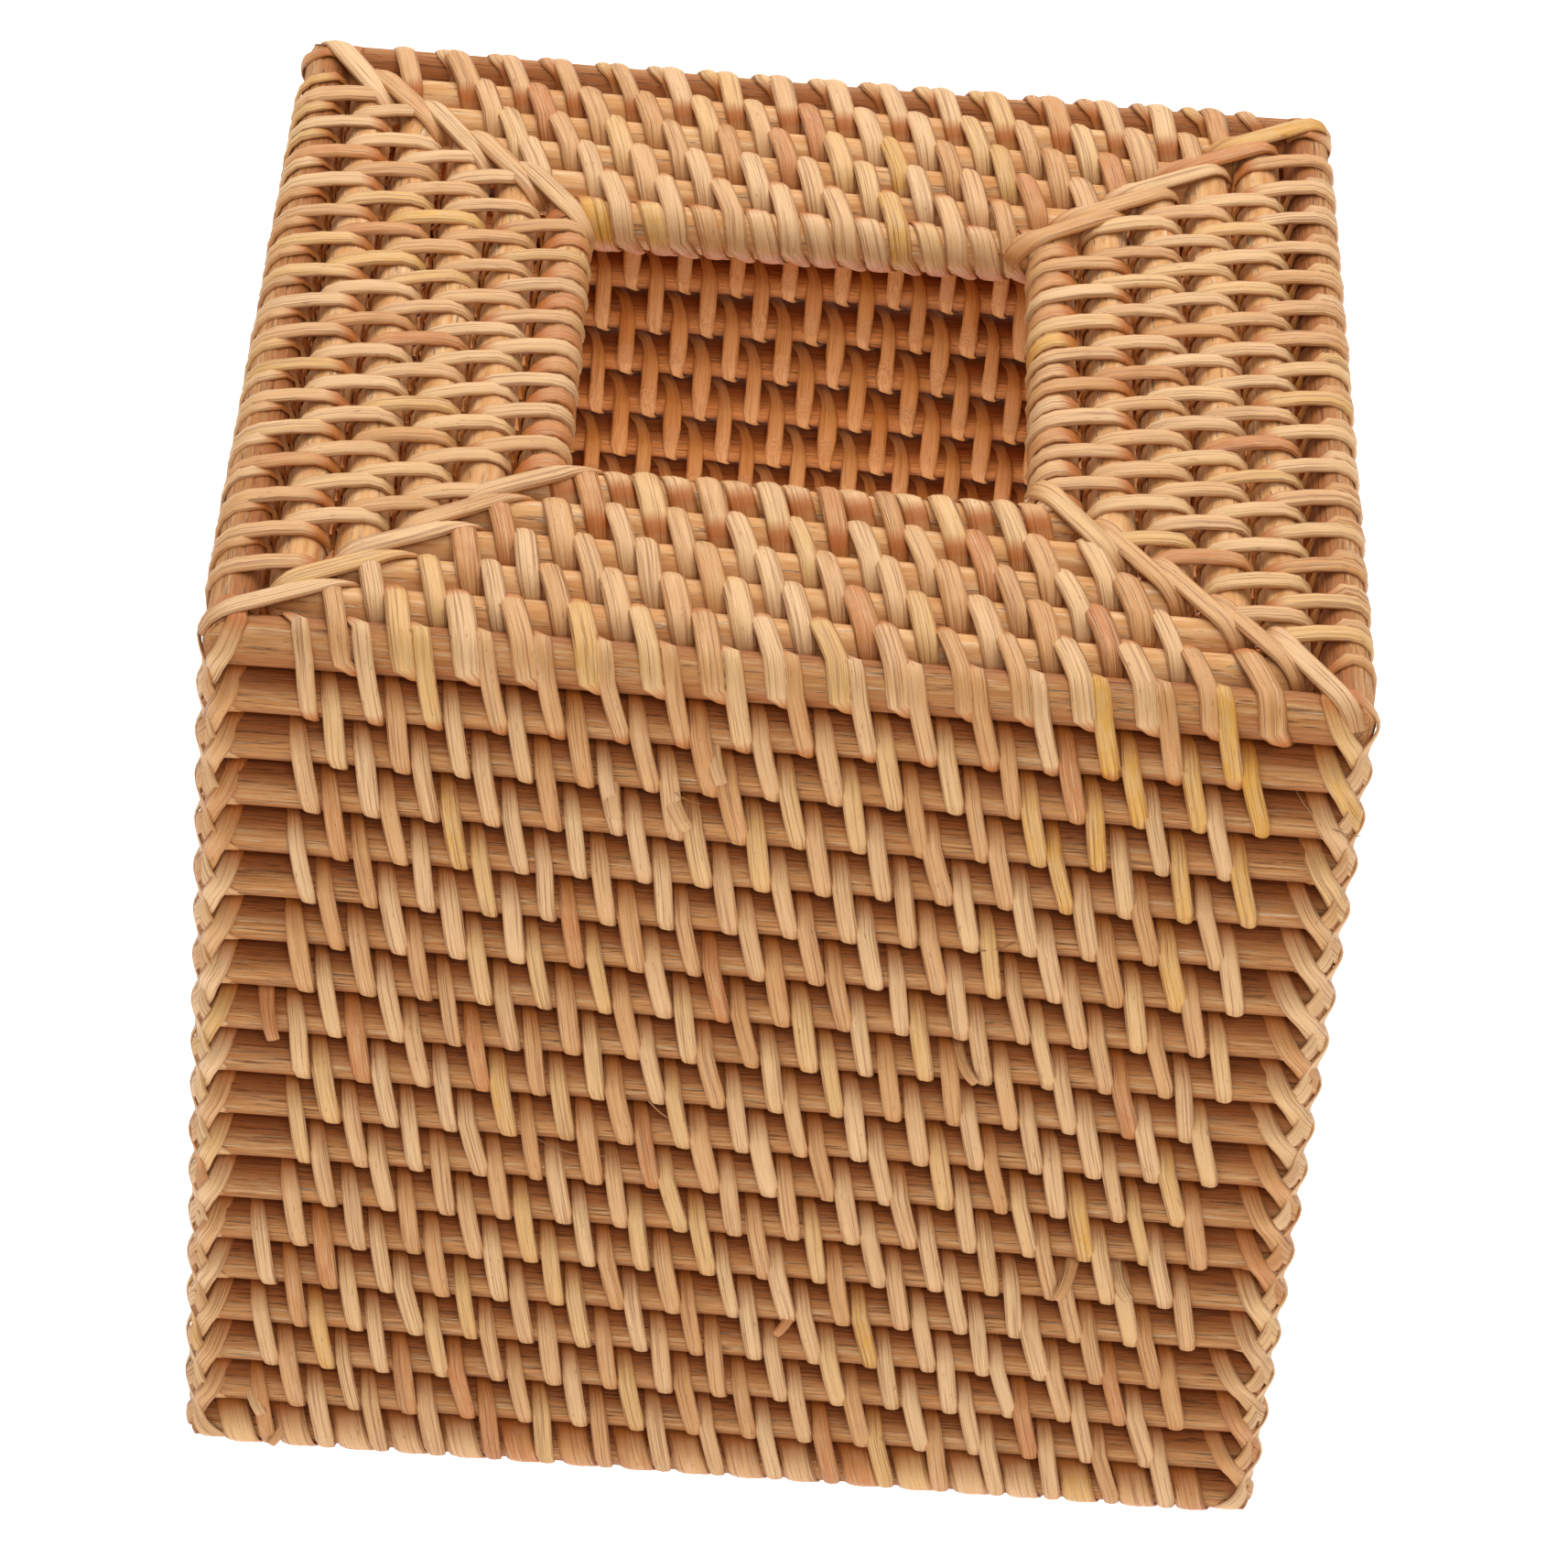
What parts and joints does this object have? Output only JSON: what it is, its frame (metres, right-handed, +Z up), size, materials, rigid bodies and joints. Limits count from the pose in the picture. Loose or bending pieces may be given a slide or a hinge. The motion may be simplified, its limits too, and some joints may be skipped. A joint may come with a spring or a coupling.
{
  "type": "tissue box cover",
  "caption": "Square woven rattan cover for a cube tissue box: round rods bound with flat cane strips, open below, square dispensing opening in the top.",
  "frame": {"origin": "middle of the footprint, on the plane that the cover stands on", "axes": "+Z up, front wall faces -Y, +X to the right as seen from the front"},
  "size_m": [0.1414, 0.1414, 0.1316],
  "materials": {
    "rattan_core": "raw fibrous rattan core, matt",
    "binding_cane": "split cane, satin, fine lengthwise lines",
    "lashing_cane": "split cane, satin, fine lengthwise lines"
  },
  "bodies": {
    "root": {"corner_lashing_back_left": "lashing_cane", "corner_lashing_back_right": "lashing_cane", "corner_lashing_front_left": "lashing_cane", "corner_lashing_front_right": "lashing_cane", "edge_binding": "binding_cane", "edge_rods": "rattan_core", "foot_binding": "binding_cane", "foot_rods": "rattan_core", "foot_wrap": "binding_cane", "mitre_lashing_back_left": "lashing_cane", "mitre_lashing_back_right": "lashing_cane", "mitre_lashing_front_left": "lashing_cane", "mitre_lashing_front_right": "lashing_cane", "opening_rim_rods": "rattan_core", "opening_rim_wrap": "binding_cane", "top_binding_1": "binding_cane", "top_binding_2": "binding_cane", "top_binding_3": "binding_cane", "top_binding_4": "binding_cane", "top_binding_5": "binding_cane", "top_rods_1": "rattan_core", "top_rods_2": "rattan_core", "top_rods_3": "rattan_core", "top_rods_4": "rattan_core", "wall_binding_02": "binding_cane", "wall_binding_03": "binding_cane", "wall_binding_04": "binding_cane", "wall_binding_05": "binding_cane", "wall_binding_06": "binding_cane", "wall_binding_07": "binding_cane", "wall_binding_08": "binding_cane", "wall_binding_09": "binding_cane", "wall_binding_10": "binding_cane", "wall_binding_11": "binding_cane", "wall_binding_12": "binding_cane", "wall_binding_13": "binding_cane", "wall_binding_14": "binding_cane", "wall_binding_15": "binding_cane", "wall_binding_16": "binding_cane", "wall_binding_17": "binding_cane", "wall_rods_02": "rattan_core", "wall_rods_03": "rattan_core", "wall_rods_04": "rattan_core", "wall_rods_05": "rattan_core", "wall_rods_06": "rattan_core", "wall_rods_07": "rattan_core", "wall_rods_08": "rattan_core", "wall_rods_09": "rattan_core", "wall_rods_10": "rattan_core", "wall_rods_11": "rattan_core", "wall_rods_12": "rattan_core", "wall_rods_13": "rattan_core", "wall_rods_14": "rattan_core", "wall_rods_15": "rattan_core", "wall_rods_16": "rattan_core", "wall_rods_17": "rattan_core", "wall_rods_18": "rattan_core"}
  },
  "joints": []
}
